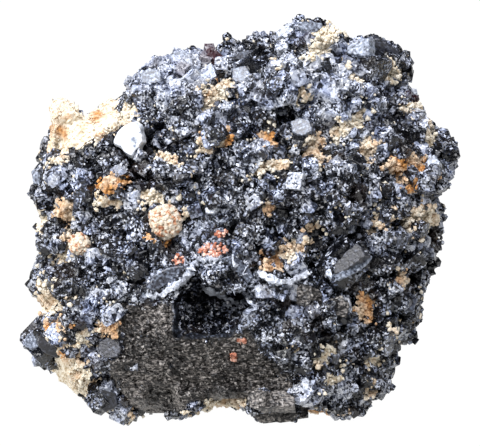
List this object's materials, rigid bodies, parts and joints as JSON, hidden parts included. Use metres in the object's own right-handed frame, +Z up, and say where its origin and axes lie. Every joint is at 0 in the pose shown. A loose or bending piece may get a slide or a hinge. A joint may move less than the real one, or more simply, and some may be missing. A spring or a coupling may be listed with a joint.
{
  "type": "perovskite specimen",
  "caption": "Rounded lump of intergrown near-black crystals on a pale carbonate matrix, with one large broken crystal and its open pocket.",
  "frame": {"origin": "centre of the bounding box's bottom, on the surface that the specimen stands on", "axes": "+Z up, +X to the right across the show face, -Y out of the show face towards the viewer"},
  "size_m": [0.0636, 0.0483, 0.0564],
  "materials": {
    "perovskite": "near-black crystal faces with a bluish adamantine to submetallic lustre",
    "cleavage": "bright steel-grey cleavage face that mirrors the light",
    "fracture": "dull graphite-grey fracture with fine ledges, glittering and granular on top",
    "carbonate": "dull granular cream carbonate with ochre stains",
    "stained_carbonate": "dull granular carbonate speckled with red-brown iron oxide"
  },
  "bodies": {
    "root": {"matrix": "carbonate", "crystal_crust": "perovskite", "large_crystal": "fracture", "bright_plate": "cleavage", "top_right_crystal": "perovskite", "right_face_crystal": "perovskite", "lower_left_crystal": "perovskite", "bottom_block": "perovskite", "striated_prism": "perovskite", "pale_nodule": "stained_carbonate", "cream_grain": "stained_carbonate"}
  },
  "joints": []
}
